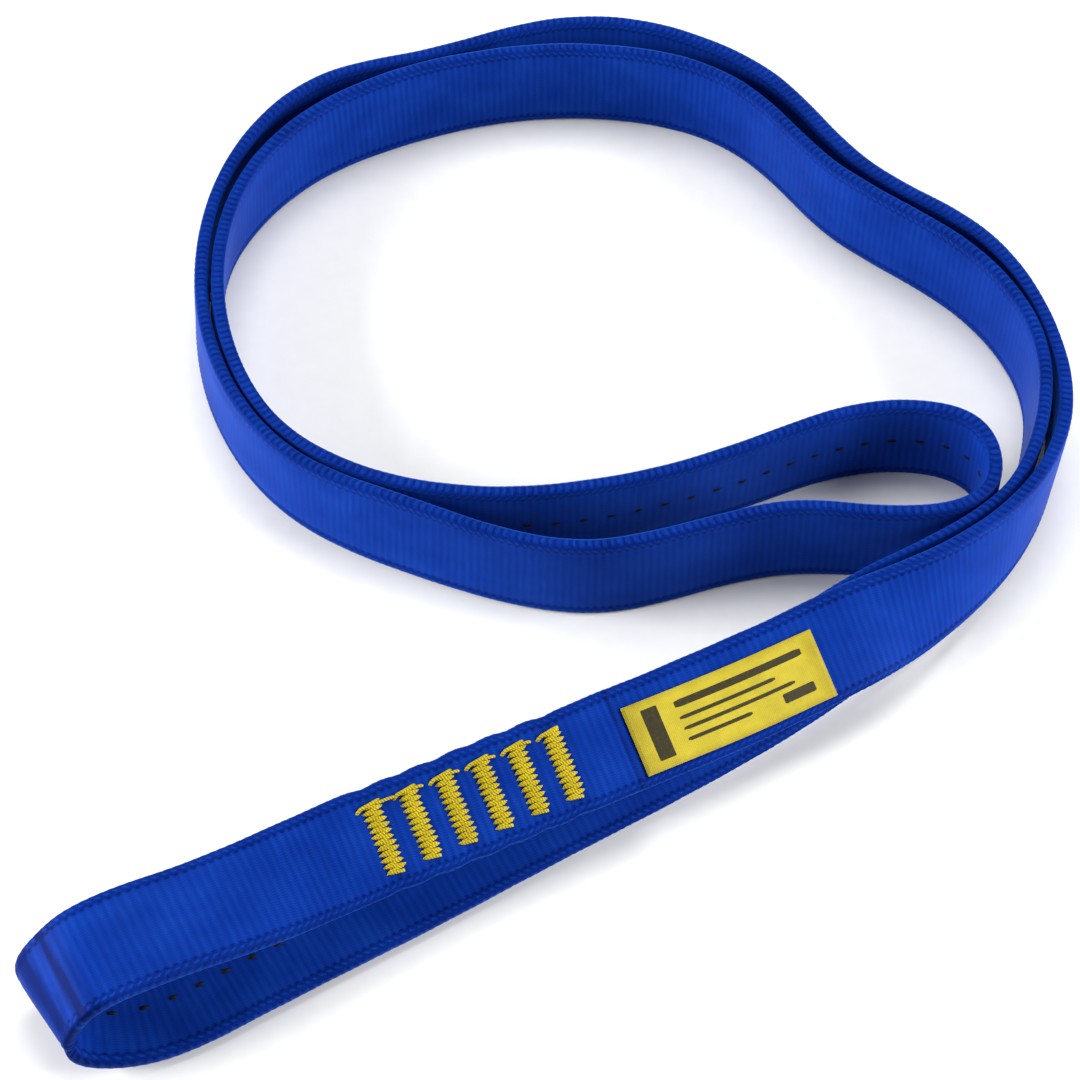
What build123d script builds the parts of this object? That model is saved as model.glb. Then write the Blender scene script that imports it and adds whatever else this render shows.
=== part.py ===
from build123d import *
import math
import os

import numpy as np

# A flat web sling: one length of woven nylon webbing, closed into an endless loop by a
# bar-tacked lap splice. It lies on a flat surface as a double strand: the tail, which holds
# the splice and the label, runs into a round ring that ends in an eye inside the ring.
# Millimetres, +Z up, resting on Z = 0, origin under the middle of the bounding box.

# Webbing
WEBBING_WIDTH = 17.0
WEBBING_THICKNESS = 2.4
HALF_WIDTH = WEBBING_WIDTH / 2
HALF_THICKNESS = WEBBING_THICKNESS / 2

# Tracer yarn, woven into the middle of the face that turns towards the inside of the loop
YARN_WIDTH = 0.7
YARN_DEPTH = 0.35
YARN_CLEARANCE = 0.05

# Lap splice. Distances along the strap start at the hidden end of the under ply.
SPLICE_LENGTH = 44.5
STRAIGHT_LENGTH = SPLICE_LENGTH + 3.0
PLY_GAP = 0.1
PLY_RISE = WEBBING_THICKNESS + PLY_GAP

# Bar tacks, sewn across the splice
BAR_COUNT = 6
FIRST_BAR = 2.4
BAR_PITCH = 6.2
BAR_LENGTH = 11.6
BAR_WIDTH = 2.3
BAR_HEIGHT = 0.5
BOBBIN_BAR_HEIGHT = 0.35
LEG_START = 0.6
LEG_LENGTH = 5.0
LEG_WIDTH = 0.9
TRAVEL_WIDTH = 0.7
TRAVEL_HEIGHT = 0.35
TRAVEL_ACROSS = BAR_LENGTH / 2 - 1.0

# Label, bonded to the outer face just after the splice
LABEL_START = SPLICE_LENGTH + 1.7
LABEL_LENGTH = 34.2
LABEL_WIDTH = 11.6
LABEL_ACROSS = -1.2
LABEL_STEPS = 12
ADHESIVE_THICKNESS = 0.08
ADHESIVE_MARGIN = 0.5
LABEL_THICKNESS = 0.3
PRINT_THICKNESS = 0.05
# Each printed block: first and last step along the label, low and high side across it
PRINT_BLOCKS = [
    (1, 2, -4.3, 4.3),
    (3, 11, 2.6, 3.8),
    (3, 9, 0.6, 1.2),
    (3, 10, -1.2, -0.6),
    (3, 7, -3.0, -2.4),
    (9, 11, -3.6, -2.0),
]

# Straight tail: middle of the under ply at its hidden end, then the run's heading,
# slope and lean from upright, in degrees
TAIL_START = (-27.0, -69.5, 11.3)
TAIL_HEADING = 27.0
TAIL_SLOPE = -1.0
TAIL_LEAN = 60.5

# The strap's route from the label, anticlockwise round the outside of the ring, through
# the eye inside it, back round the inside, and along the underside of the tail to its eye.
# Each station: x, y, how far the upper edge lies from the strap's middle in plan (x, y,
# for the full width), and the height of the lower edge above the surface.
ROUTE = [
    (34.5, -38.4, -8.5, 11.0, 5.3),
    (51.0, -29.3, -6.8, 10.0, 5.0),
    (64.7, -20.4, -3.3, 5.3, 2.8),
    (79.9, -4.8, -0.2, 1.0, 1.0),
    (89.0, 16.6, 0.8, -1.0, 0.0),
    (89.2, 33.0, -1.0, -1.2, 0.0),
    (77.5, 58.0, -0.6, 0.0, 0.0),
    (66.0, 67.5, 0.0, 0.0, 0.0),
    (56.5, 77.0, 0.0, 0.0, 0.0),
    (43.5, 96.0, 0.0, 0.0, 0.0),
    (6.5, 112.0, -0.8, 0.0, 0.0),
    (-22.5, 102.5, -0.5, 0.0, 0.0),
    (-37.5, 98.0, 0.6, 0.0, 0.0),
    (-55.7, 77.5, 2.0, -0.5, 0.0),
    (-60.3, 51.5, 1.4, -1.0, 0.0),
    (-55.0, 24.5, 0.0, 1.0, 0.0),
    (-42.0, 5.5, -1.0, 1.0, 0.0),
    (-20.5, -6.5, -0.7, 1.8, 0.0),
    (9.5, -14.5, -1.0, 0.5, 0.0),
    (41.0, -6.5, 1.4, 1.0, 0.0),
    (57.0, -7.0, -0.8, 0.0, 0.0),
    (74.4, -2.0, 0.4, 0.4, 0.0),
    (74.5, 11.0, -0.4, 0.6, 0.0),
    (62.0, 16.0, 0.0, 0.4, 0.0),
    (36.0, 8.0, 0.3, -0.7, 0.0),
    (19.0, 1.5, 0.6, -0.8, 0.0),
    (-18.0, -1.8, -0.2, -0.4, 0.0),
    (-42.4, 10.1, -0.2, -0.5, 0.0),
    (-52.9, 28.5, -0.8, -0.6, 0.0),
    (-56.4, 62.5, 2.4, 2.0, 0.0),
    (-43.5, 85.5, 0.4, 1.0, 0.0),
    (-30.0, 95.0, -0.4, 1.4, 0.0),
    (9.0, 104.0, 0.8, 1.0, 0.0),
    (35.5, 95.5, -0.6, 0.8, 0.0),
    (46.5, 82.5, -0.8, 0.6, 0.0),
    (53.0, 73.5, -0.1, 0.4, 0.0),
    (76.0, 52.5, 1.5, -1.0, 0.0),
    (86.3, 27.0, 0.8, -1.2, 0.0),
    (85.0, 16.4, 1.2, -1.4, 0.0),
    (77.1, -3.6, -0.2, 0.3, 0.0),
    (66.9, -14.4, -3.6, 5.2, 0.0),
    (55.6, -22.0, -6.2, 9.4, 0.0),
    (41.0, -33.0, -6.9, 11.0, 0.0),
    (12.0, -51.5, -7.8, 12.4, 0.1),
    (-19.0, -69.5, -8.6, 14.2, 0.0),
    (-49.5, -87.9, -8.8, 14.3, 0.1),
    (-64.3, -94.7, -8.4, 14.6, 1.0),
    (-72.9, -95.7, -11.1, 12.6, 5.5),
    (-72.0, -95.3, -7.4, 15.1, 10.6),
    (-48.5, -82.7, -8.4, 14.4, 12.0),
]

# How finely the route is cut into sections
LONGEST_STEP = 12.0
LARGEST_TURN = 8.0

# Puts the origin under the middle of the bounding box
ORIGIN = np.array([5.9, 4.6, 0.0])


def tail_directions():
    """Travel, width and outward directions of the straight tail."""
    heading, slope, lean = (math.radians(a) for a in (TAIL_HEADING, TAIL_SLOPE, TAIL_LEAN))
    travel = np.array(
        [
            math.cos(heading) * math.cos(slope),
            math.sin(heading) * math.cos(slope),
            math.sin(slope),
        ]
    )
    left = np.array([-math.sin(heading), math.cos(heading), 0.0])
    width = math.cos(lean) * np.cross(travel, left) + math.sin(lean) * left
    return travel, width, np.cross(travel, width)


def station_values():
    """Middle point and width direction of the strap at each station of the route."""
    middles, widths = [], []
    for x, y, over_x, over_y, lift in ROUTE:
        flat = math.hypot(over_x, over_y) / WEBBING_WIDTH
        upright = math.sqrt(max(0.0, 1.0 - flat * flat))
        middles.append((x, y, lift + HALF_WIDTH * upright + HALF_THICKNESS * flat))
        widths.append((over_x / WEBBING_WIDTH, over_y / WEBBING_WIDTH, upright))
    return np.array(middles) - ORIGIN, np.array(widths)


def slopes_of_spline(knots, values, first_slope, last_slope):
    """Slopes at the knots of the smooth cubic spline through the values."""
    count = len(knots)
    gaps = np.diff(knots)
    matrix = np.eye(count)
    right = np.zeros_like(values)
    right[0] = first_slope
    right[-1] = last_slope
    for i in range(1, count - 1):
        before, after = gaps[i - 1], gaps[i]
        matrix[i, i - 1 : i + 2] = after, 2 * (before + after), before
        right[i] = 3 * after * (values[i] - values[i - 1]) / before
        right[i] += 3 * before * (values[i + 1] - values[i]) / after
    return np.linalg.solve(matrix, right)


def spline_point(knots, values, slopes, at):
    """Value and slope of the spline at one parameter."""
    i = min(max(int(np.searchsorted(knots, at, side="right")) - 1, 0), len(knots) - 2)
    gap = knots[i + 1] - knots[i]
    s = (at - knots[i]) / gap
    start, end = values[i], values[i + 1]
    start_slope, end_slope = slopes[i] * gap, slopes[i + 1] * gap
    point = (2 * s**3 - 3 * s**2 + 1) * start + (s**3 - 2 * s**2 + s) * start_slope
    point = point + (3 * s**2 - 2 * s**3) * end + (s**3 - s**2) * end_slope
    slope = (6 * s**2 - 6 * s) * (start - end)
    slope = slope + (3 * s**2 - 4 * s + 1) * start_slope + (3 * s**2 - 2 * s) * end_slope
    return point, slope / gap


travel_dir, width_dir, outward_dir = tail_directions()
tail_start = np.array(TAIL_START) - ORIGIN
route_middles, route_widths = station_values()
route_start = tail_start + STRAIGHT_LENGTH * travel_dir
route_end = tail_start + PLY_RISE * outward_dir
middles = np.vstack([route_start, route_middles, route_end])
widths = np.vstack([width_dir, route_widths, width_dir])
knots = np.concatenate([[0.0], np.cumsum(np.linalg.norm(np.diff(middles, axis=0), axis=1))])
middle_slopes = slopes_of_spline(knots, middles, travel_dir, travel_dir)
width_slopes = slopes_of_spline(knots, widths, np.zeros(3), np.zeros(3))
ROUTE_LENGTH = knots[-1]
STRAP_END = STRAIGHT_LENGTH + ROUTE_LENGTH + SPLICE_LENGTH


def strap_frame(distance):
    """Middle, travel and width directions of the strap at a distance along it."""
    if distance <= STRAIGHT_LENGTH:
        return tail_start + distance * travel_dir, travel_dir, width_dir
    if distance >= STRAIGHT_LENGTH + ROUTE_LENGTH:
        beyond = distance - STRAIGHT_LENGTH - ROUTE_LENGTH
        return route_end + beyond * travel_dir, travel_dir, width_dir
    along = distance - STRAIGHT_LENGTH
    middle, travel = spline_point(knots, middles, middle_slopes, along)
    width, _ = spline_point(knots, widths, width_slopes, along)
    travel = travel / np.linalg.norm(travel)
    width = width - np.dot(width, travel) * travel
    return middle, travel, width / np.linalg.norm(width)


def section_plane(distance):
    """Plane across the strap: x runs to the upper edge, y runs outward."""
    middle, travel, width = strap_frame(distance)
    return Plane(origin=Vector(*middle), x_dir=Vector(*width), z_dir=Vector(*travel))


def section_distances():
    """Distances of the strap's sections: even under the label, closer where it bends."""
    step = LABEL_LENGTH / LABEL_STEPS
    distances = [0.0] + [LABEL_START + k * step for k in range(LABEL_STEPS + 1)]
    last = STRAIGHT_LENGTH + ROUTE_LENGTH
    at = distances[-1]
    travel = strap_frame(at)[1]
    while at < last - 1.0:
        next_at = at
        turn = 0.0
        while turn < LARGEST_TURN and next_at - at < LONGEST_STEP and next_at < last - 0.5:
            next_at += 0.5
            cosine = np.dot(travel, strap_frame(next_at)[1])
            turn = math.degrees(math.acos(min(1.0, cosine)))
        at = next_at
        travel = strap_frame(at)[1]
        distances.append(at)
    distances[-1] = last
    return distances + [STRAP_END]


strap_distances = section_distances()
label_distances = strap_distances[1 : LABEL_STEPS + 2]
splice_plane = Plane(
    origin=Vector(*tail_start), x_dir=Vector(*travel_dir), z_dir=Vector(*outward_dir)
)
UNDER_FACE = -HALF_THICKNESS
OUTER_FACE = PLY_RISE + HALF_THICKNESS
MID_SPLICE = HALF_THICKNESS + PLY_GAP / 2
bar_places = [FIRST_BAR + BAR_PITCH * i for i in range(BAR_COUNT)]
leg_middle = LEG_START + LEG_LENGTH / 2
leg_places = [leg_middle, -leg_middle]


def ribbon_sections(distances, outline):
    """One closed outline on the strap's section plane at each distance."""
    sections = []
    for distance in distances:
        with BuildSketch(section_plane(distance)) as section:
            with BuildLine():
                Polyline(*outline, close=True)
            make_face()
        sections.append(section.sketch)
    return sections


def block_outline(low, high, inner, outer):
    return [(low, inner), (high, inner), (high, outer), (low, outer)]


def name_and_write(piece, label):
    piece.part.label = label
    export_step(piece.part, f"parts/{label}.step")


os.makedirs("parts", exist_ok=True)

# --- Webbing: one continuous strap, with a fine groove that holds the tracer yarn
groove_half = YARN_WIDTH / 2 + YARN_CLEARANCE
groove_floor = YARN_DEPTH + YARN_CLEARANCE - HALF_THICKNESS
webbing_outline = [
    (-HALF_WIDTH, HALF_THICKNESS),
    (HALF_WIDTH, HALF_THICKNESS),
    (HALF_WIDTH, -HALF_THICKNESS),
    (groove_half, -HALF_THICKNESS),
    (groove_half, groove_floor),
    (-groove_half, groove_floor),
    (-groove_half, -HALF_THICKNESS),
    (-HALF_WIDTH, -HALF_THICKNESS),
]
with BuildPart() as webbing:
    loft(sections=ribbon_sections(strap_distances, webbing_outline), ruled=True)
    with BuildSketch(splice_plane.offset(UNDER_FACE)):
        with Locations([(place, across) for place in bar_places for across in leg_places]):
            Rectangle(LEG_WIDTH, LEG_LENGTH)
    extrude(amount=OUTER_FACE - UNDER_FACE, mode=Mode.SUBTRACT)
name_and_write(webbing, "webbing")

# --- Tracer yarn, flush with the strap's inner face
with BuildPart() as tracer_yarn:
    yarn_outline = block_outline(
        -YARN_WIDTH / 2, YARN_WIDTH / 2, -HALF_THICKNESS, YARN_DEPTH - HALF_THICKNESS
    )
    loft(sections=ribbon_sections(strap_distances, yarn_outline), ruled=True)
name_and_write(tracer_yarn, "tracer_yarn")

# --- Bar tacks: needle thread on the outer face, locked with bobbin thread inside the splice
for number, place in enumerate(bar_places, start=1):
    with BuildPart() as needle_thread:
        with BuildSketch(splice_plane.offset(OUTER_FACE)):
            with Locations((place, 0)):
                Rectangle(BAR_WIDTH, BAR_LENGTH)
        extrude(amount=BAR_HEIGHT)
        with BuildSketch(splice_plane.offset(MID_SPLICE)):
            with Locations([(place, across) for across in leg_places]):
                Rectangle(LEG_WIDTH, LEG_LENGTH)
        extrude(amount=OUTER_FACE - MID_SPLICE)
    name_and_write(needle_thread, f"bar_tack_{number}")

    with BuildPart() as bobbin_thread:
        with BuildSketch(splice_plane.offset(UNDER_FACE)):
            with Locations((place, 0)):
                Rectangle(BAR_WIDTH, BAR_LENGTH)
        extrude(amount=-BOBBIN_BAR_HEIGHT)
        with BuildSketch(splice_plane.offset(UNDER_FACE)):
            with Locations([(place, across) for across in leg_places]):
                Rectangle(LEG_WIDTH, LEG_LENGTH)
        extrude(amount=MID_SPLICE - UNDER_FACE)
    name_and_write(bobbin_thread, f"bobbin_tack_{number}")

# --- Travel stitches: the needle thread's short runs from one bar to the next
with BuildPart() as travel_stitches:
    gaps = [place + BAR_PITCH / 2 for place in bar_places[:-1]]
    with BuildSketch(splice_plane.offset(OUTER_FACE)):
        with Locations([(gap, TRAVEL_ACROSS) for gap in gaps]):
            Rectangle(BAR_PITCH - BAR_WIDTH, TRAVEL_WIDTH)
    extrude(amount=TRAVEL_HEIGHT)
name_and_write(travel_stitches, "travel_stitches")

# --- Label: adhesive film, tape and print, each bent to the strap's outer face
label_low = LABEL_ACROSS - LABEL_WIDTH / 2
label_high = LABEL_ACROSS + LABEL_WIDTH / 2
tape_face = HALF_THICKNESS + ADHESIVE_THICKNESS
print_face = tape_face + LABEL_THICKNESS
with BuildPart() as label_adhesive:
    adhesive_outline = block_outline(
        label_low + ADHESIVE_MARGIN, label_high - ADHESIVE_MARGIN, HALF_THICKNESS, tape_face
    )
    loft(sections=ribbon_sections(label_distances, adhesive_outline), ruled=True)
name_and_write(label_adhesive, "label_adhesive")

with BuildPart() as label_tape:
    tape_outline = block_outline(label_low, label_high, tape_face, print_face)
    loft(sections=ribbon_sections(label_distances, tape_outline), ruled=True)
name_and_write(label_tape, "label_tape")

with BuildPart() as label_print:
    for first, last, low, high in PRINT_BLOCKS:
        block = block_outline(
            LABEL_ACROSS + low, LABEL_ACROSS + high, print_face, print_face + PRINT_THICKNESS
        )
        loft(sections=ribbon_sections(label_distances[first : last + 1], block), ruled=True)
name_and_write(label_print, "label_print")
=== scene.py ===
import math

import bpy
import numpy as np
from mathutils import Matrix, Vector


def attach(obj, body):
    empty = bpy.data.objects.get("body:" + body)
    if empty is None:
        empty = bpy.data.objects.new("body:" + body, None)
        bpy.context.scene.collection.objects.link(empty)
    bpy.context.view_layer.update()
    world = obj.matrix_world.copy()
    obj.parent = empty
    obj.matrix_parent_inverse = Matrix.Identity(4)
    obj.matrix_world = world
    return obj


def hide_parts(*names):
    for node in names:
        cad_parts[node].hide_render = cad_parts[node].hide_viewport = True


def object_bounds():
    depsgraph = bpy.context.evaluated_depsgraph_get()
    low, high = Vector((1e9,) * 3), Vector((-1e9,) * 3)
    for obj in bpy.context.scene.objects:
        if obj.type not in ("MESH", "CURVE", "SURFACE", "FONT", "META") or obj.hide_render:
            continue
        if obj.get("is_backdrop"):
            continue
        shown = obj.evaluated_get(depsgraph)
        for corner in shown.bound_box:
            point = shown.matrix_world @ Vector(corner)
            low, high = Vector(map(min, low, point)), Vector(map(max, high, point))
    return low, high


# Looks of the flat web sling. Lengths are in millimetres until a mesh is made, and the route
# is the part's own. Distances along the strap start at the hidden end of the under ply.
MM = 0.001
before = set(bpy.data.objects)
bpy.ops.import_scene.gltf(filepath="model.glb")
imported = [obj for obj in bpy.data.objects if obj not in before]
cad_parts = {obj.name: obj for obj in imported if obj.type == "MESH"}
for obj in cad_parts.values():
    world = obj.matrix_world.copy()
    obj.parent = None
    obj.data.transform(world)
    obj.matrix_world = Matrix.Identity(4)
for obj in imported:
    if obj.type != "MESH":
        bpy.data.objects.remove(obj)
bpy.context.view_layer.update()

# Webbing, splice and route, as in the part
WIDTH = 17.0
HALF_WIDTH = WIDTH / 2
HALF_THICKNESS = 1.2
SPLICE_LENGTH = 44.5
STRAIGHT_LENGTH = 47.5
PLY_RISE = 2.5
ORIGIN = np.array([5.9, 4.6, 0.0])
TAIL_START = (-27.0, -69.5, 11.3)
TAIL_HEADING = 27.0
TAIL_SLOPE = -1.0
TAIL_LEAN = 60.5

# Each station: the middle's x and y, how far the upper edge lies over the lower one in x and
# in y, and how high the lower edge is above the floor
ROUTE = [
    (34.5, -38.4, -8.5, 11.0, 5.3),
    (51.0, -29.3, -6.8, 10.0, 5.0),
    (64.7, -20.4, -3.3, 5.3, 2.8),
    (79.9, -4.8, -0.2, 1.0, 1.0),
    (89.0, 16.6, 0.8, -1.0, 0.0),
    (89.2, 33.0, -1.0, -1.2, 0.0),
    (77.5, 58.0, -0.6, 0.0, 0.0),
    (66.0, 67.5, 0.0, 0.0, 0.0),
    (56.5, 77.0, 0.0, 0.0, 0.0),
    (43.5, 96.0, 0.0, 0.0, 0.0),
    (6.5, 112.0, -0.8, 0.0, 0.0),
    (-22.5, 102.5, -0.5, 0.0, 0.0),
    (-37.5, 98.0, 0.6, 0.0, 0.0),
    (-55.7, 77.5, 2.0, -0.5, 0.0),
    (-60.3, 51.5, 1.4, -1.0, 0.0),
    (-55.0, 24.5, 0.0, 1.0, 0.0),
    (-42.0, 5.5, -1.0, 1.0, 0.0),
    (-20.5, -6.5, -0.7, 1.8, 0.0),
    (9.5, -14.5, -1.0, 0.5, 0.0),
    (41.0, -6.5, 1.4, 1.0, 0.0),
    (57.0, -7.0, -0.8, 0.0, 0.0),
    (74.4, -2.0, 0.4, 0.4, 0.0),
    (74.5, 11.0, -0.4, 0.6, 0.0),
    (62.0, 16.0, 0.0, 0.4, 0.0),
    (36.0, 8.0, 0.3, -0.7, 0.0),
    (19.0, 1.5, 0.6, -0.8, 0.0),
    (-18.0, -1.8, -0.2, -0.4, 0.0),
    (-42.4, 10.1, -0.2, -0.5, 0.0),
    (-52.9, 28.5, -0.8, -0.6, 0.0),
    (-56.4, 62.5, 2.4, 2.0, 0.0),
    (-43.5, 85.5, 0.4, 1.0, 0.0),
    (-30.0, 95.0, -0.4, 1.4, 0.0),
    (9.0, 104.0, 0.8, 1.0, 0.0),
    (35.5, 95.5, -0.6, 0.8, 0.0),
    (46.5, 82.5, -0.8, 0.6, 0.0),
    (53.0, 73.5, -0.1, 0.4, 0.0),
    (76.0, 52.5, 1.5, -1.0, 0.0),
    (86.3, 27.0, 0.8, -1.2, 0.0),
    (85.0, 16.4, 1.2, -1.4, 0.0),
    (77.1, -3.6, -0.2, 0.3, 0.0),
    (66.9, -14.4, -3.6, 5.2, 0.0),
    (55.6, -22.0, -6.2, 9.4, 0.0),
    (41.0, -33.0, -6.9, 11.0, 0.0),
    (12.0, -51.5, -7.8, 12.4, 0.1),
    (-19.0, -69.5, -8.6, 14.2, 0.0),
    (-49.5, -87.9, -8.8, 14.3, 0.1),
    (-64.3, -94.7, -8.4, 14.6, 1.0),
    (-72.9, -95.7, -11.1, 12.6, 5.5),
    (-72.0, -95.3, -7.4, 15.1, 10.6),
    (-48.5, -82.7, -8.4, 14.4, 12.0),
]

# Weave: ribs across the strap, and a groove at BORDER between the face and the selvedge
WARP_PITCH = 0.42
RIB_PITCH = 1.3
RIB_HEIGHT = 0.030
STATIONS_PER_RIB = 3
BORDER = 6.9
GROOVE_DEPTH = 0.12
BEAD_PLACE = 7.4
BEAD_HEIGHT = 0.05
BEAD_ROW_PITCH = 0.95
CROWN_PLACE = 7.9
CROWN_DEPTH = 0.07
WAVE_HEIGHT = 0.07
RIM_PLACE = 8.2
EDGE_BEAD = 0.03
FUSED_LENGTH = 1.1

# Points of the section: places across the face and the selvedge, then points round the edge,
# each with its place across and its height
FACE_PLACES = (-6.2, -3.7, -1.2, 1.2, 3.7, 6.2)
BORDER_PLACES = (BORDER, BEAD_PLACE, CROWN_PLACE)
EDGE_RING = ((8.3, 1.0), (8.5, 0.55), (8.56, 0.0), (8.5, -0.55), (8.3, -1.0))

# The tail's fold. Places count from where the outer ply starts. A crease is a place, a depth
# and a spread.
CREASES = ((-46.7, 0.10, 0.7), (-48.9, 0.32, 0.8), (-53.2, 0.26, 1.0))
CREASE_SLANT = 0.08
CREASE_RELIEF = 0.8
BULGE_PLACE = -55.8
BULGE_SPREAD = 3.4
BULGE = 2.0
# Painted shade beside the fold's tip: its place, spread and strength
SHADE_PLACE = -57.5
SHADE_SPREAD = 5.0
FOLD_SHADE = 0.09

# Bar tacks. Each stitch is a pair of legs of the zigzag.
BAR_COUNT = 6
FIRST_BAR = 2.4
BAR_PITCH = 6.2
BAR_LENGTH = 11.6
BAR_HALF_WIDTH = 1.58
STITCHES = 12
STEPS_PER_LEG = 6
CORE_SHIFTS = (-0.6, -0.1, 0.45)
CORE_POINTS = 14
THREAD_RADIUS = 0.29
THREAD_FLATTEN = 0.75
HOLE_MARGIN = 0.05
STITCH_DEPTH = 0.22
STITCH_RISE = 0.52
SPIKE_INSET = 0.45
FIRST_TRAVEL = 3.6
TRAVEL = 1.9
TACK_DENT = 0.22
TACK_DENT_SPREAD = 1.5
TACK_EDGE_PULL = 0.28
TACK_PULL_SPREAD = 1.7

# Label
LABEL_START = SPLICE_LENGTH + 1.7
LABEL_LENGTH = 34.2
LABEL_WIDTH = 11.6
LABEL_ACROSS = -1.2
LABEL_THICKNESS = 0.3
LABEL_GAP = 0.08
LABEL_CURL = 0.28
LABEL_CURL_LENGTH = 5.0
LABEL_SLANT = 0.3
LABEL_STEP = LABEL_LENGTH / 12
FILM_INSET = 0.5
FILM_END_INSET = 3.0
FILM_THICKNESS = 0.13
FILM_SINK = 0.05
INK_THICKNESS = 0.03
INK_CORNER = 0.15

# Each print block: its first and last label steps, and its lower and upper places across
PRINT_BLOCKS = [
    (1, 2, -4.3, 4.3),
    (3, 11, 2.6, 3.8),
    (3, 9, 0.6, 1.2),
    (3, 10, -1.2, -0.6),
    (3, 7, -3.0, -2.4),
    (9, 11, -3.6, -2.0),
]

# Tracer yarn
DASH_PITCH = 4.65
STATIONS_PER_DASH = 12
YARN_RADIUS = 0.36
YARN_FLATTEN = 0.48
YARN_END_GAP = 2.0
YARN_SINK = 0.07
FLOAT_START = 0.76
FLOAT_HEIGHT = 0.12

# Floor, light and camera. The floor's size is in metres.
FLOOR_SIZE = 6.0
FLOOR_DROP = 0.15
LOOK_AT = Vector((-5.9, -4.6, 0.0)) * MM
CAMERA_PLACE = Vector((-5.9, -341.5, 422.0)) * MM
SENSOR_WIDTH = 36.0
LENS = 105.5
LIGHT_AIM = Vector((0, 0, 0.01))

# Each softbox: name, place in metres, size in metres, power in watts
SOFTBOXES = (
    ("left_softbox", (-0.80, -0.10, 0.28), 0.50, 19.0),
    ("right_softbox", (0.80, -0.10, 0.28), 0.50, 17.0),
    ("top_softbox", (0.0, 0.40, 1.00), 0.60, 8.5),
)
WORLD_COLOR = (0.93, 0.95, 1.0, 1.0)
WORLD_STRENGTH = 0.19


# --- The strap's route -------------------------------------------------------------------
def tail_directions():
    """Travel, width and outward directions of the straight tail."""
    heading, slope, lean = (math.radians(a) for a in (TAIL_HEADING, TAIL_SLOPE, TAIL_LEAN))
    level = math.cos(slope)
    travel = np.array([math.cos(heading) * level, math.sin(heading) * level, math.sin(slope)])
    left = np.array([-math.sin(heading), math.cos(heading), 0.0])
    width = math.cos(lean) * np.cross(travel, left) + math.sin(lean) * left
    return travel, width, np.cross(travel, width)


def station_values():
    """Middle point and width direction of the strap at each station of the route."""
    middles, widths = [], []
    for x, y, over_x, over_y, lift in ROUTE:
        flat = math.hypot(over_x, over_y) / WIDTH
        upright = math.sqrt(max(0.0, 1.0 - flat * flat))
        middles.append((x, y, lift + HALF_WIDTH * upright + HALF_THICKNESS * flat))
        widths.append((over_x / WIDTH, over_y / WIDTH, upright))
    return np.array(middles) - ORIGIN, np.array(widths)


def slopes_of_spline(knots, values, first_slope, last_slope):
    """Slopes at the knots of the smooth cubic spline through the values."""
    count = len(knots)
    gaps = np.diff(knots)
    matrix = np.eye(count)
    right = np.zeros_like(values)
    right[0] = first_slope
    right[-1] = last_slope
    for i in range(1, count - 1):
        before, after = gaps[i - 1], gaps[i]
        matrix[i, i - 1 : i + 2] = after, 2 * (before + after), before
        right[i] = 3 * after * (values[i] - values[i - 1]) / before
        right[i] += 3 * before * (values[i + 1] - values[i]) / after
    return np.linalg.solve(matrix, right)


def spline_points(knots, values, slopes, at):
    """Values and slopes of the spline at many parameters."""
    i = np.clip(np.searchsorted(knots, at, side="right") - 1, 0, len(knots) - 2)
    gap = (knots[i + 1] - knots[i])[:, None]
    s = (at - knots[i])[:, None] / gap
    start, end = values[i], values[i + 1]
    start_slope, end_slope = slopes[i] * gap, slopes[i + 1] * gap
    point = (2 * s**3 - 3 * s**2 + 1) * start + (s**3 - 2 * s**2 + s) * start_slope
    point += (3 * s**2 - 2 * s**3) * end + (s**3 - s**2) * end_slope
    slope = (6 * s**2 - 6 * s) * (start - end) + (3 * s**2 - 4 * s + 1) * start_slope
    slope += (3 * s**2 - 2 * s) * end_slope
    return point, slope / gap


travel_dir, width_dir, outward_dir = tail_directions()
tail_start = np.array(TAIL_START) - ORIGIN
route_middles, route_widths = station_values()
route_start = tail_start + STRAIGHT_LENGTH * travel_dir
route_end = tail_start + PLY_RISE * outward_dir
middles = np.vstack([route_start, route_middles, route_end])
widths = np.vstack([width_dir, route_widths, width_dir])
knots = np.concatenate([[0.0], np.cumsum(np.linalg.norm(np.diff(middles, axis=0), axis=1))])
middle_slopes = slopes_of_spline(knots, middles, travel_dir, travel_dir)
width_slopes = slopes_of_spline(knots, widths, np.zeros(3), np.zeros(3))
OUTER_START = STRAIGHT_LENGTH + knots[-1]
STRAP_END = OUTER_START + SPLICE_LENGTH


def unit(vectors):
    """The vectors brought to length 1."""
    return vectors / np.linalg.norm(vectors, axis=-1, keepdims=True)


def strap_frames(distances):
    """Middle, travel, width and outward directions of the strap at many distances."""
    at = np.asarray(distances, float)
    on_route = np.clip(at - STRAIGHT_LENGTH, 0, knots[-1])
    middle, travel = spline_points(knots, middles, middle_slopes, on_route)
    width, _ = spline_points(knots, widths, width_slopes, on_route)
    before, beyond = (at < STRAIGHT_LENGTH)[:, None], (at > OUTER_START)[:, None]
    middle = np.where(before, tail_start + at[:, None] * travel_dir, middle)
    middle = np.where(beyond, route_end + (at[:, None] - OUTER_START) * travel_dir, middle)
    travel = unit(np.where(before | beyond, travel_dir, travel))
    width = np.where(before | beyond, width_dir, width)
    width = unit(width - np.sum(width * travel, axis=1, keepdims=True) * travel)
    return middle, travel, width, np.cross(travel, width)


def on_strap(distances, across, outward):
    """Points at given distances, places across the strap and heights from its middle."""
    middle, _, width, out = strap_frames(distances)
    return middle + np.asarray(across)[:, None] * width + np.asarray(outward)[:, None] * out


# --- Mesh helpers ------------------------------------------------------------------------
DRIFT_LENGTHS = (61.0, 37.0, 23.0, 11.0)


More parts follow.
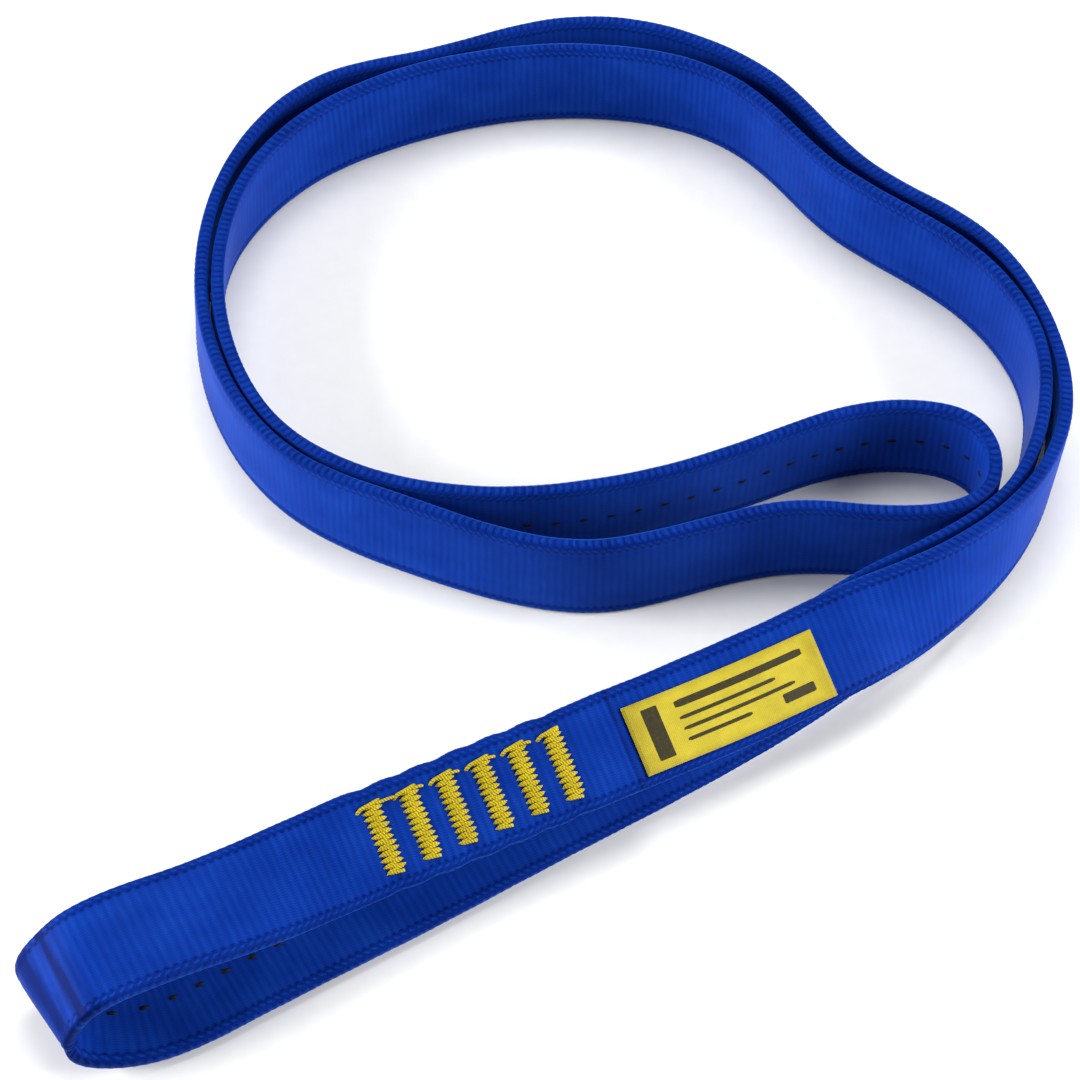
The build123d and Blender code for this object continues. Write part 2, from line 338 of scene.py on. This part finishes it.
def make_piece(name, points, faces, material, values=None, smooth=True):
    """A mesh object from points in millimetres, with named values on its points."""
    mesh = bpy.data.meshes.new(name)
    mesh.from_pydata((np.asarray(points) * MM).tolist(), [], faces)
    for label, data in (values or {}).items():
        layer = mesh.attributes.new(label, "FLOAT", "POINT")
        layer.data.foreach_set("value", np.asarray(data, np.float32))
    mesh.polygons.foreach_set("use_smooth", [smooth] * len(mesh.polygons))
    mesh.materials.append(material)
    mesh.validate()
    piece = bpy.data.objects.new(name, mesh)
    bpy.context.scene.collection.objects.link(piece)
    return piece


def tube_faces(rings, around, start=0):
    """Quads between successive rings of points, with a cap at each end."""
    faces = []
    for i in range(rings - 1):
        low, high = start + i * around, start + (i + 1) * around
        for j in range(around):
            k = (j + 1) % around
            faces.append((low + j, low + k, high + k, high + j))
    faces.append(tuple(start + j for j in reversed(range(around))))
    last = start + (rings - 1) * around
    faces.append(tuple(last + j for j in range(around)))
    return faces


def tube(path, radius, around=8, flatten=1.0, up=None):
    """Points of a round or flattened tube that follows a path, with its twist values."""
    path = np.asarray(path, float)
    travel = unit(np.gradient(path, axis=0))
    up = outward_dir if up is None else up
    side = unit(np.cross(travel, up))
    rise = np.cross(side, travel)
    angle = np.arange(around) * 2 * math.pi / around
    ring = np.cos(angle)[None, :, None] * side[:, None, :]
    ring = ring + flatten * np.sin(angle)[None, :, None] * rise[:, None, :]
    points = path[:, None, :] + radius * ring
    length = np.concatenate([[0.0], np.cumsum(np.linalg.norm(np.diff(path, axis=0), axis=1))])
    along = np.repeat(length, around)
    turn = np.tile(angle / (2 * math.pi), len(path))
    return points.reshape(-1, 3), along, turn


def tubes_piece(name, paths, material, radius, **options):
    """One piece made of several tubes."""
    points, faces, along, turn = [], [], [], []
    around = options.get("around", 8)
    start = 0
    for path in paths:
        new_points, new_along, new_turn = tube(path, radius, **options)
        faces += tube_faces(len(path), around, start)
        start += len(new_points)
        points.append(new_points)
        along.append(new_along)
        turn.append(new_turn)
    values = {"along": np.concatenate(along), "turn": np.concatenate(turn)}
    return make_piece(name, np.vstack(points), faces, material, values)


def bump(at, centre, spread):
    """A smooth bump of height 1 around a centre."""
    return np.exp(-(((at - centre) / spread) ** 2))


def drift(at, seed):
    """Slow wandering between about -1 and 1, the same on every run."""
    total = np.zeros_like(at, dtype=float)
    for k, length in enumerate(DRIFT_LENGTHS):
        total += np.sin(2 * math.pi * at / length + seed * (k + 1.7)) / (k + 1.5)
    return total / 1.6


# --- Materials ---------------------------------------------------------------------------
class Nodes:
    """Short calls for building a node tree."""

    def __init__(self, name):
        self.material = bpy.data.materials.new(name)
        self.material.use_nodes = True
        self.tree = self.material.node_tree
        self.shader = self.tree.nodes["Principled BSDF"]

    def put(self, value, socket):
        """Set a socket's value, or link another socket to it."""
        if isinstance(value, (int, float, tuple)):
            socket.default_value = value
        else:
            self.tree.links.new(value, socket)

    def value(self, name):
        """One of the mesh's named values."""
        node = self.tree.nodes.new("ShaderNodeAttribute")
        node.attribute_name = name
        return node.outputs["Fac"]

    def math(self, kind, first, second=0.0, third=0.0, clamp=False):
        node = self.tree.nodes.new("ShaderNodeMath")
        node.operation = kind
        node.use_clamp = clamp
        for socket, given in zip(node.inputs, (first, second, third)):
            self.put(given, socket)
        return node.outputs[0]

    def wave(self, at, pitch, shift=0.0):
        """A sine between 0 and 1."""
        turned = self.math("MULTIPLY_ADD", at, 2 * math.pi / pitch, shift)
        return self.math("MULTIPLY_ADD", self.math("SINE", turned), 0.5, 0.5)

    def vector(self, x, y, z=0.0):
        node = self.tree.nodes.new("ShaderNodeCombineXYZ")
        for socket, given in zip(node.inputs, (x, y, z)):
            self.put(given, socket)
        return node.outputs[0]

    def noise(self, vector, scale, detail=2.0, rough=0.5):
        node = self.tree.nodes.new("ShaderNodeTexNoise")
        self.put(vector, node.inputs["Vector"])
        node.inputs["Scale"].default_value = scale
        node.inputs["Detail"].default_value = detail
        node.inputs["Roughness"].default_value = rough
        return node.outputs["Fac"]

    def stretched_noise(self, along, across, along_scale, across_scale, detail=2.0):
        """Noise with a scale of its own along and across the strap."""
        x = self.math("MULTIPLY", along, along_scale)
        y = self.math("MULTIPLY", across, across_scale)
        return self.noise(self.vector(x, y), 1.0, detail)

    def place(self):
        """The place on the object, in metres."""
        return self.tree.nodes.new("ShaderNodeTexCoord").outputs["Object"]

    def ramp(self, fac, *stops):
        """A color from a value, through stops of a place and a linear color."""
        node = self.tree.nodes.new("ShaderNodeValToRGB")
        elements = node.color_ramp.elements
        for index, (at, color) in enumerate(stops):
            element = elements[index] if index < 2 else elements.new(at)
            element.position = at
            element.color = (*color, 1.0)
        self.put(fac, node.inputs["Fac"])
        return node.outputs["Color"]

    def bump(self, height, distance, strength=1.0):
        node = self.tree.nodes.new("ShaderNodeBump")
        node.inputs["Distance"].default_value = distance
        node.inputs["Strength"].default_value = strength
        self.put(height, node.inputs["Height"])
        self.put(node.outputs["Normal"], self.shader.inputs["Normal"])

    def finish(self, color, roughness, **constants):
        """The finished material, with the shader's other values given by name."""
        self.put(color, self.shader.inputs["Base Color"])
        self.put(roughness, self.shader.inputs["Roughness"])
        for name, value in constants.items():
            self.shader.inputs[name.replace("_", " ")].default_value = value
        return self.material


def webbing_material():
    """Royal blue nylon: crosswise ribs, fine warp yarns, beaded selvedges, satin sheen."""
    n = Nodes("royal_blue_nylon")
    along, across, crease_and_shade = n.value("along"), n.value("across"), n.value("crease_and_shade")
    side = n.math("ABSOLUTE", across)
    rib = n.wave(along, RIB_PITCH, math.pi / 2)
    row = n.math("FLOOR", n.math("DIVIDE", along, RIB_PITCH))
    yarn = n.wave(n.math("MULTIPLY_ADD", row, WARP_PITCH / 2, across), WARP_PITCH)
    streak = n.stretched_noise(along, across, 1.7, 0.25)
    mottle = n.stretched_noise(along, across, 0.09, 0.12)
    fibre = n.stretched_noise(along, across, 3.2, 6.0, 3.0)

    # Where the selvedge, the groove beside it and its rim are
    border = n.math("MULTIPLY", n.math("SUBTRACT", side, BORDER), 4.0, clamp=True)
    from_groove = n.math("ABSOLUTE", n.math("SUBTRACT", side, BORDER))
    groove = n.math("SUBTRACT", 1.0, n.math("MULTIPLY", from_groove, 3.0), clamp=True)
    rim = n.math("MULTIPLY", n.math("SUBTRACT", side, RIM_PLACE), 4.0, clamp=True)

    # The face's ribs, lighter on their crests and with painted shade in their valleys, its
    # yarns, and the selvedge's slanting beads
    body = n.math("MULTIPLY_ADD", rib, 0.11, n.math("MULTIPLY", yarn, 0.12))
    body = n.math("MULTIPLY_ADD", streak, 0.20, n.math("ADD", body, 0.22))
    uneven = n.math("MULTIPLY_ADD", streak, 0.9, along)
    bead = n.wave(n.math("MULTIPLY_ADD", side, 1.1, uneven), RIB_PITCH)
    beads = n.math("MULTIPLY", bead, n.wave(side, BEAD_ROW_PITCH, 1.2))
    edge = n.math("MULTIPLY_ADD", beads, 0.36, n.math("MULTIPLY", fibre, 0.62))
    plain = n.math("MULTIPLY", body, n.math("SUBTRACT", 1.0, border))
    tone = n.math("MULTIPLY_ADD", edge, border, plain)

    # Darker and lighter stretches, then painted shade in the groove's pits, on the selvedge and
    # its rim, at the fused end and in the creases
    tone = n.math("MULTIPLY_ADD", n.math("SUBTRACT", mottle, 0.5), 0.42, tone)
    # Painted shade in the groove's pits, darkest in the valleys between the ribs
    pit_shade = n.math("MULTIPLY", groove, n.math("MULTIPLY_ADD", rib, -0.3, 0.34))
    tone = n.math("SUBTRACT", tone, pit_shade)
    # Painted shade on the selvedges, deeper still on the strap's edges
    tone = n.math("MULTIPLY_ADD", border, -0.10, tone)
    tone = n.math("MULTIPLY_ADD", rim, -0.13, tone)
    # The outer ply's end drawn darker, partly as melted nylon and partly as painted shade at its
    # step
    fused_end_and_shade = n.math("SUBTRACT", along, STRAP_END - FUSED_LENGTH)
    fused_end_and_shade = n.math("MULTIPLY", fused_end_and_shade, 1.6, clamp=True)
    tone = n.math("MULTIPLY_ADD", fused_end_and_shade, -0.30, tone)
    # Painted shade in the creases and beside the fold's tip
    tone = n.math("MULTIPLY_ADD", crease_and_shade, -2.8, tone)
    color = n.ramp(
        tone,
        (0.0, (0.0008, 0.005, 0.065)),
        (0.42, (0.0022, 0.019, 0.175)),
        (1.0, (0.008, 0.055, 0.34)),
    )
    n.bump(n.math("MULTIPLY_ADD", fibre, 0.4, tone), 0.0001, 0.4)
    roughness = n.math("MULTIPLY_ADD", streak, 0.14, 0.36)
    return n.finish(
        color,
        roughness,
        Specular_IOR_Level=0.02,
        Specular_Tint=(0.2, 0.4, 1.0, 1.0),
        Sheen_Weight=0.30,
        Sheen_Roughness=0.42,
        Sheen_Tint=(0.035, 0.2, 1.0, 1.0),
    )


def thread_material():
    """Yellow sewing thread: a twisted strand with painted shade in the grooves between its
    plies.
    """
    n = Nodes("yellow_thread")
    along, turn = n.value("along"), n.value("turn")
    twist = n.math("MULTIPLY_ADD", along, 1.0, n.math("MULTIPLY", turn, 0.9))
    strand = n.wave(twist, 0.45)
    fuzz = n.noise(n.place(), 2600.0, 3.0)
    spread = n.noise(n.place(), 420.0)
    # Painted shade in the twist's grooves, where the strand wave is low
    tone = n.math("MULTIPLY_ADD", strand, 0.45, n.math("MULTIPLY", fuzz, 0.3))
    tone = n.math("MULTIPLY_ADD", spread, 0.35, tone)
    color = n.ramp(
        tone,
        (0.1, (0.10, 0.065, 0.0015)),
        (0.5, (0.31, 0.235, 0.003)),
        (0.95, (0.46, 0.37, 0.010)),
    )
    n.bump(n.math("MULTIPLY_ADD", fuzz, 0.4, strand), 0.00008, 0.8)
    return n.finish(color, n.math("MULTIPLY_ADD", fuzz, 0.2, 0.5), Specular_IOR_Level=0.12)


def yarn_material():
    """Black tracer yarn with a soft fibrous grain."""
    n = Nodes("black_tracer_yarn")
    fuzz = n.noise(n.place(), 3000.0, 3.0)
    color = n.ramp(fuzz, (0.25, (0.001, 0.0015, 0.004)), (0.8, (0.006, 0.008, 0.014)))
    n.bump(fuzz, 0.00006, 0.6)
    return n.finish(color, n.math("MULTIPLY_ADD", fuzz, 0.3, 0.5), Specular_IOR_Level=0.1)


def label_material():
    """Olive-yellow coated label tape: fine weave, slight mottling, darker towards its rim."""
    n = Nodes("label_tape_coat")
    along, across = n.value("along"), n.value("across")
    weave = n.math("MULTIPLY", n.wave(along, 0.32), n.wave(across, 0.32))
    mottle = n.noise(n.place(), 260.0, 4.0, 0.6)
    grime = n.noise(n.place(), 900.0, 3.0)
    tone = n.math("MULTIPLY_ADD", mottle, 0.7, n.math("MULTIPLY", weave, 0.15))
    tone = n.math("MULTIPLY_ADD", grime, 0.15, tone)
    rim = n.value("rim")
    tone = n.math("SUBTRACT", tone, n.math("MULTIPLY", rim, 0.3))
    color = n.ramp(
        tone,
        (0.05, (0.25, 0.195, 0.012)),
        (0.5, (0.37, 0.30, 0.020)),
        (0.9, (0.45, 0.375, 0.038)),
    )
    n.bump(n.math("MULTIPLY_ADD", grime, 0.6, weave), 0.00003, 0.5)
    return n.finish(color, n.math("MULTIPLY_ADD", mottle, 0.2, 0.5), Specular_IOR_Level=0.12)


def ink_material():
    """Dark brown printing ink, thinner where the tape's weave shows through."""
    n = Nodes("label_ink_print")
    wear = n.noise(n.place(), 1500.0, 4.0, 0.7)
    color = n.ramp(
        wear,
        (0.2, (0.018, 0.015, 0.005)),
        (0.6, (0.030, 0.025, 0.008)),
        (0.85, (0.09, 0.075, 0.02)),
    )
    n.bump(wear, 0.00002, 0.5)
    return n.finish(color, n.math("MULTIPLY_ADD", wear, 0.2, 0.45), Specular_IOR_Level=0.15)


def adhesive_material():
    """Thin film of adhesive with small voids."""
    n = Nodes("adhesive_film")
    voids = n.noise(n.place(), 1200.0, 3.0)
    color = n.ramp(voids, (0.3, (0.20, 0.17, 0.06)), (0.75, (0.42, 0.37, 0.16)))
    n.bump(voids, 0.00004, 0.5)
    return n.finish(color, n.math("MULTIPLY_ADD", voids, 0.3, 0.3))


def floor_material():
    """Plain pale floor with the faintest unevenness."""
    n = Nodes("pale_floor")
    grain = n.noise(n.place(), 300.0, 3.0)
    color = n.ramp(grain, (0.2, (0.64, 0.64, 0.636)), (0.8, (0.67, 0.67, 0.666)))
    n.bump(grain, 0.00002, 0.2)
    return n.finish(color, 0.6, Specular_IOR_Level=0.2)


blue = webbing_material()
yellow = thread_material()
black = yarn_material()
tape = label_material()
ink = ink_material()
film = adhesive_material()

# --- Webbing -----------------------------------------------------------------------------
bar_places = [FIRST_BAR + BAR_PITCH * i for i in range(BAR_COUNT)]


def section_outline():
    """Across and outward places round the webbing's section, and which face each is on."""
    outer = [*FACE_PLACES, *BORDER_PLACES]
    face = [-u for u in reversed(BORDER_PLACES)] + outer
    ring = [(u, HALF_THICKNESS, 1) for u in face]
    ring += [(u, v, 0) for u, v in EDGE_RING]
    ring += [(u, -HALF_THICKNESS, -1) for u in reversed(face)]
    ring += [(-u, v, 0) for u, v in reversed(EDGE_RING)]
    return np.array(ring, float)


def face_relief(along, across, side):
    """How far the webbing's face stands from its plain thickness, outward positive."""
    phase = 2 * math.pi * along / RIB_PITCH
    place = np.abs(across)
    ribs = RIB_HEIGHT * (0.5 * np.cos(phase) - 0.5) * (place < BORDER - 0.2)
    groove = -GROOVE_DEPTH * bump(place, BORDER, 0.28)
    beads = BEAD_HEIGHT * np.cos(phase + math.pi / 2) * bump(place, BEAD_PLACE, 0.5)
    crown = -CROWN_DEPTH * bump(place, CROWN_PLACE, 0.25)
    waves = WAVE_HEIGHT * drift(along, 1.3) * np.cos(across * 0.35 + 0.02 * along)
    return ribs + groove + beads + crown + side * waves


def stitched_in(along, across, side):
    """How far the bar tacks pull the plies' outer faces in."""
    dent = np.zeros_like(along)
    past_bar = np.abs(across) - (BAR_LENGTH / 2 + 0.5)
    window = 1 / (1 + np.exp(past_bar / 0.35))
    for place in bar_places:
        under = bump(along, place, TACK_DENT_SPREAD) * (side < 0)
        outer = bump(along, OUTER_START + place, TACK_DENT_SPREAD) * (side > 0)
        dent += TACK_DENT * (under + outer) * window
    return dent


def creased(along):
    """Crosswise creases in the fold beyond the splice."""
    depth = np.zeros_like(along)
    for place, deep, spread in CREASES:
        depth += deep * bump(along, OUTER_START + place, spread)
    return depth


def build_webbing():
    """The whole strap, from the hidden end of the under ply to the outer ply's end."""
    outline = section_outline()
    around = len(outline)
    rings = int(STRAP_END / RIB_PITCH * STATIONS_PER_RIB)
    stations = np.arange(rings + 1) * RIB_PITCH / STATIONS_PER_RIB
    stations[-1] = STRAP_END
    along = np.repeat(stations, around)
    across = np.tile(outline[:, 0], len(stations))
    outward = np.tile(outline[:, 1], len(stations))
    side = np.tile(outline[:, 2], len(stations))
    phase = 2 * math.pi * along / RIB_PITCH
    on_face = np.abs(side)
    relief = on_face * (face_relief(along, across, side) - stitched_in(along, across, side))
    crease_and_shade = creased(along + CREASE_SLANT * across) * (0.75 + 0.5 * drift(across, 2.7))
    relief = relief - on_face * crease_and_shade * CREASE_RELIEF
    near_edge = np.clip(0.5 - across / WIDTH, 0, 1) ** 0.8
    bulge = BULGE * bump(along, OUTER_START + BULGE_PLACE, BULGE_SPREAD) * near_edge
    outward = outward + np.sign(outward) * relief + bulge
    edge_bead = (1 - on_face) * EDGE_BEAD * np.cos(phase + 2.5 * drift(along, 7.7))
    wobble = 0.12 * drift(along, 4.1) * np.sign(across) + 0.10 * drift(along, 9.2)
    tacked = [start + bar for bar in bar_places for start in (0, OUTER_START)]
    pull = sum(bump(along, at, TACK_PULL_SPREAD) for at in tacked)
    edge_move = np.sign(across) * (edge_bead - TACK_EDGE_PULL * pull) + wobble
    place = across + edge_move * (np.abs(across) / HALF_WIDTH)
    points = on_strap(along, place, outward)
    faces = tube_faces(len(stations), around)
    # Painted shade on the outer face beside the fold's tip, carried into the colour together
    # with the creases' depth
    shade = FOLD_SHADE * bump(along, OUTER_START + SHADE_PLACE, SHADE_SPREAD) * (side >= 0)
    values = {"along": along, "across": across, "crease_and_shade": crease_and_shade + shade}
    return make_piece("webbing_cloth", points, faces, blue, values)


webbing = build_webbing()
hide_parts("webbing")
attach(webbing, "root")


# --- Tracer yarn -------------------------------------------------------------------------
def build_tracer():
    """Yarn that floats on the inner face and dips under the surface between the floats."""
    end = STRAP_END - YARN_END_GAP
    stations = np.arange(YARN_END_GAP, end, DASH_PITCH / STATIONS_PER_DASH)
    lift = np.cos(2 * math.pi * stations / DASH_PITCH)
    above = np.clip((lift - FLOAT_START) / (1 - FLOAT_START), -2.4, 1.0)
    outward = -HALF_THICKNESS - FLOAT_HEIGHT * above + YARN_SINK
    across = 0.12 * drift(stations, 6.6)
    path = on_strap(stations, across, outward)
    inward = -strap_frames(stations)[3]
    look = {"flatten": YARN_FLATTEN, "up": inward}
    return tubes_piece("tracer_yarn_floats", [path], black, YARN_RADIUS, **look)


tracer = build_tracer()
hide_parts("tracer_yarn")
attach(tracer, "root")


# --- Bar tacks ---------------------------------------------------------------------------
def splice_points(travel, across, height):
    """Points on the splice: along it, across it, and above the middle of the under ply."""
    travel, across, height = (np.asarray(a, float)[:, None] for a in (travel, across, height))
    return tail_start + travel * travel_dir + across * width_dir + height * outward_dir


def stitch_path(place, face, facing, number):
    """One zigzag of thread over a bar: it dives into the cloth at every needle hole."""
    travel, across, height = [], [], []
    legs = 2 * STITCHES
    for leg in range(legs):
        wander = 0.10 * math.sin(2.3 * leg + 1.9 * number)
        sign = 1 if leg % 2 else -1
        start = -sign * (BAR_HALF_WIDTH + HOLE_MARGIN + wander)
        end = sign * (BAR_HALF_WIDTH + HOLE_MARGIN - 0.08 * math.sin(3.1 * leg + number))
        top = BAR_LENGTH / 2 - leg * BAR_LENGTH / legs
        for step in range(STEPS_PER_LEG):
            t = step / STEPS_PER_LEG
            travel.append(place + start + (end - start) * t)
            across.append(top - t * BAR_LENGTH / legs)
            arch = math.sin(math.pi * t) ** 0.55
            height.append(face + facing * (-STITCH_DEPTH + STITCH_RISE * arch))
    return splice_points(travel, across, height)


def spike_path(place, face, facing):
    """The first stitch of a bar, which reaches back past its side."""
    travel = place + np.array([-2.6, -2.2, -1.6, -0.7, 0.3, 1.1, 1.4])
    top = BAR_LENGTH / 2 - SPIKE_INSET
    across = top + np.array([-0.55, -0.3, 0.0, 0.1, 0.15, 0.1, 0.05])
    height = face + facing * np.array([-0.25, 0.1, 0.26, 0.34, 0.34, 0.15, -0.2])
    return splice_points(travel, across, height)


def core_path(place, face, facing, shift):
    """A run of thread along the bar, under the zigzag."""
    reach = BAR_LENGTH / 2 - 0.3
    across = np.linspace(-reach, reach, CORE_POINTS)
    travel = place + shift + 0.06 * np.sin(across * 1.7)
    height = np.full(CORE_POINTS, face - facing * 0.02)
    height[[0, -1]] -= facing * 0.2
    return splice_points(travel, across, height)


outer_face = PLY_RISE + HALF_THICKNESS
for number, place in enumerate(bar_places, start=1):
    for node, name, face, facing in (
        (f"bar_tack_{number}", f"bar_tack_thread_{number}", outer_face, 1),
        (f"bobbin_tack_{number}", f"bobbin_tack_thread_{number}", -HALF_THICKNESS, -1),
    ):
        paths = [core_path(place, face, facing, shift) for shift in CORE_SHIFTS]
        paths.append(stitch_path(place, face, facing, number))
        if facing == 1:
            paths.append(spike_path(place, face, facing))
        tack = tubes_piece(name, paths, yellow, THREAD_RADIUS, flatten=THREAD_FLATTEN)
        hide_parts(node)
        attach(tack, "root")


def travel_path(place, number):
    """Thread from the top of one bar towards the next. The first run is the longest."""
    reach = FIRST_TRAVEL if number == 1 else TRAVEL
    t = np.linspace(0, 1, 9)
    travel = place + 0.8 + reach * t
    across = BAR_LENGTH / 2 - 0.5 + 0.25 * t - 0.35 * t**2
    height = outer_face + 0.24 + 0.1 * np.sin(math.pi * t) - 0.5 * t**6
    return splice_points(travel, across, height)


travel_paths = [travel_path(place, i) for i, place in enumerate(bar_places[:-1], start=1)]
travels = tubes_piece("travel_stitch_threads", travel_paths, yellow, THREAD_RADIUS * 0.85)
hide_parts("travel_stitches")
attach(travels, "root")


# --- Label -------------------------------------------------------------------------------
def label_lift(along):
    """The label's far end curls away from the webbing a little."""
    curl_start = LABEL_START + LABEL_LENGTH - LABEL_CURL_LENGTH
    t = np.clip((along - curl_start) / LABEL_CURL_LENGTH, 0, 1)
    return LABEL_CURL * t**2


def label_slant(along):
    """The label was put on slightly out of line with the webbing."""
    return -LABEL_SLANT * (along - LABEL_START - LABEL_LENGTH / 2) / LABEL_LENGTH


def patch(name, start, end, low, high, base, thickness, material, corner=0.0, cells=(60, 20)):
    """A thin sheet on the webbing's outer face, with rounded corners where corner is given."""
    rows, columns = cells
    s = np.linspace(0, 1, rows + 1)
    t = np.linspace(0, 1, columns + 1)
    along, across = np.meshgrid(start + (end - start) * s, low + (high - low) * t, indexing="ij")
    if corner:
        past = np.clip(corner - np.minimum(along - start, end - along), 0, corner)
        inset = corner - np.sqrt(np.maximum(corner**2 - past**2, 0))
        middle = (low + high) / 2
        half = (high - low) / 2
        across = middle + (across - middle) * (half - inset) / half
    edge = np.minimum.outer(np.minimum(s, 1 - s), np.minimum(t, 1 - t))
    rim = np.clip(1 - edge * 12, 0, 1)
    round_off = 0.35 * thickness * (edge < 1e-6)
    flat_along, flat_across = along.ravel(), across.ravel()
    lift = base + label_lift(flat_along)
    placed = flat_across + label_slant(flat_along)
    top = on_strap(flat_along, placed, lift + thickness - round_off.ravel())
    bottom = on_strap(flat_along, placed, lift)
    count = len(top)
    index = np.arange(count).reshape(rows + 1, columns + 1)
    quads = np.stack([index[:-1, :-1], index[1:, :-1], index[1:, 1:], index[:-1, 1:]], -1)
    quads = quads.reshape(-1, 4).tolist()
    faces = [tuple(q) for q in quads]
    faces += [tuple(count + k for k in reversed(q)) for q in quads]
    border = [*index[:, 0], *index[-1, 1:], *index[-2::-1, -1], *index[0, -2:0:-1]]
    for a, b in zip(border, border[1:] + border[:1]):
        faces.append((int(b), int(a), int(a) + count, int(b) + count))
    values = {
        "along": np.tile(flat_along, 2),
        "across": np.tile(flat_across, 2),
        "rim": np.tile(rim.ravel(), 2),
    }
    return make_piece(name, np.vstack([top, bottom]), faces, material, values, smooth=False)


label_low = LABEL_ACROSS - LABEL_WIDTH / 2
label_high = LABEL_ACROSS + LABEL_WIDTH / 2
label_end = LABEL_START + LABEL_LENGTH
label_base = HALF_THICKNESS + LABEL_GAP
label = patch(
    "label_tape_sheet",
    LABEL_START,
    label_end,
    label_low,
    label_high,
    label_base,
    LABEL_THICKNESS,
    tape,
)
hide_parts("label_tape")
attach(label, "root")

glue = patch(
    "label_adhesive_film",
    LABEL_START + FILM_INSET,
    label_end - FILM_END_INSET,
    label_low + FILM_INSET,
    label_high - FILM_INSET,
    HALF_THICKNESS - FILM_SINK,
    FILM_THICKNESS,
    film,
)
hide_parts("label_adhesive")
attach(glue, "root")

for number, (first, last, low, high) in enumerate(PRINT_BLOCKS, start=1):
    block = patch(
        f"label_print_{number}",
        LABEL_START + first * LABEL_STEP,
        LABEL_START + last * LABEL_STEP,
        LABEL_ACROSS + low,
        LABEL_ACROSS + high,
        label_base + LABEL_THICKNESS,
        INK_THICKNESS,
        ink,
        INK_CORNER,
        (24, 6),
    )
    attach(block, "root")
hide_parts("label_print")

# --- Floor, light and camera -------------------------------------------------------------
half_floor = FLOOR_SIZE / 2 / MM
corners = half_floor * np.array([(-1, -1, 0), (1, -1, 0), (1, 1, 0), (-1, 1, 0)])
floor = make_piece("floor", corners - (0, 0, FLOOR_DROP), [(0, 1, 2, 3)], floor_material())
floor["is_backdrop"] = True

camera_data = bpy.data.cameras.new("camera")
camera_data.sensor_width = SENSOR_WIDTH
camera_data.lens = LENS
camera_data.clip_start = 0.01
camera = bpy.data.objects.new("camera", camera_data)
camera.location = CAMERA_PLACE
camera.rotation_euler = (LOOK_AT - CAMERA_PLACE).to_track_quat("-Z", "Y").to_euler()
bpy.context.scene.collection.objects.link(camera)
bpy.context.scene.camera = camera

for name, place, size, power in SOFTBOXES:
    light_data = bpy.data.lights.new(name, "AREA")
    light_data.shape = "SQUARE"
    light_data.size = size
    light_data.energy = power
    light = bpy.data.objects.new(name, light_data)
    light.location = place
    light.rotation_euler = (LIGHT_AIM - Vector(place)).to_track_quat("-Z", "Y").to_euler()
    bpy.context.scene.collection.objects.link(light)

world = bpy.data.worlds.new("studio")
world.use_nodes = True
background = world.node_tree.nodes["Background"]
background.inputs["Color"].default_value = WORLD_COLOR
background.inputs["Strength"].default_value = WORLD_STRENGTH
bpy.context.scene.world = world
bpy.context.scene.view_settings.view_transform = "Standard"

low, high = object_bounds()
